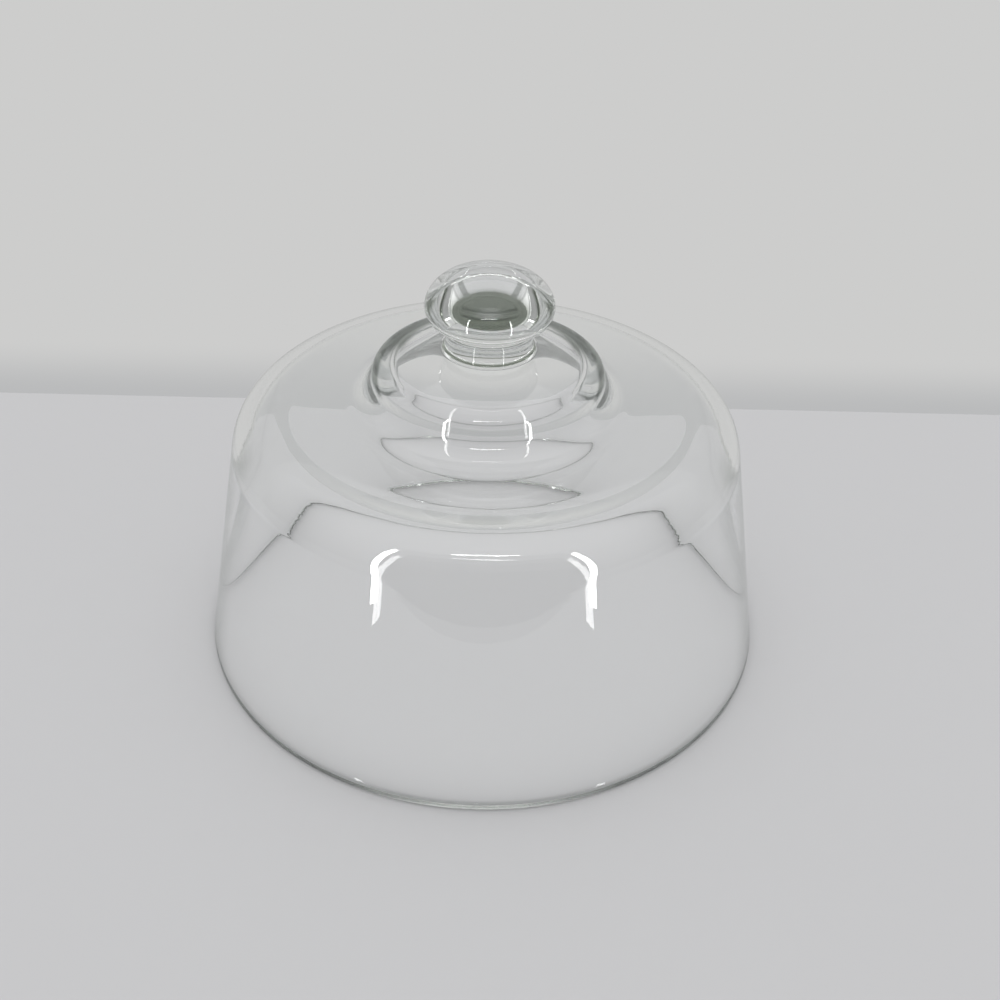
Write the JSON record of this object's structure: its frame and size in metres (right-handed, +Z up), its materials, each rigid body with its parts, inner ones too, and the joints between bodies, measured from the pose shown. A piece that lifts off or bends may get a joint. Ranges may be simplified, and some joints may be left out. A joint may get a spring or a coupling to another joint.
{
  "type": "glass cheese dome",
  "caption": "Clear glass bell cover with a tapered wall, rounded shoulder and hollow stepped hub that carries a solid mushroom knob; set over cheese on a board or plate.",
  "frame": {"origin": "centre of the rim circle, on the surface that the dome stands on", "axes": "+Z up along the axis of the bell, towards the knob; the dome is round, so +X and +Y are any two directions across it"},
  "size_m": [0.1794, 0.1794, 0.1232],
  "materials": {
    "bell_glass": "clear pressed glass, fire polished",
    "knob_glass": "clear solid glass with a faint grey-green tint, fire polished"
  },
  "bodies": {
    "root": {"bell": "bell_glass", "knob": "knob_glass"}
  },
  "joints": []
}
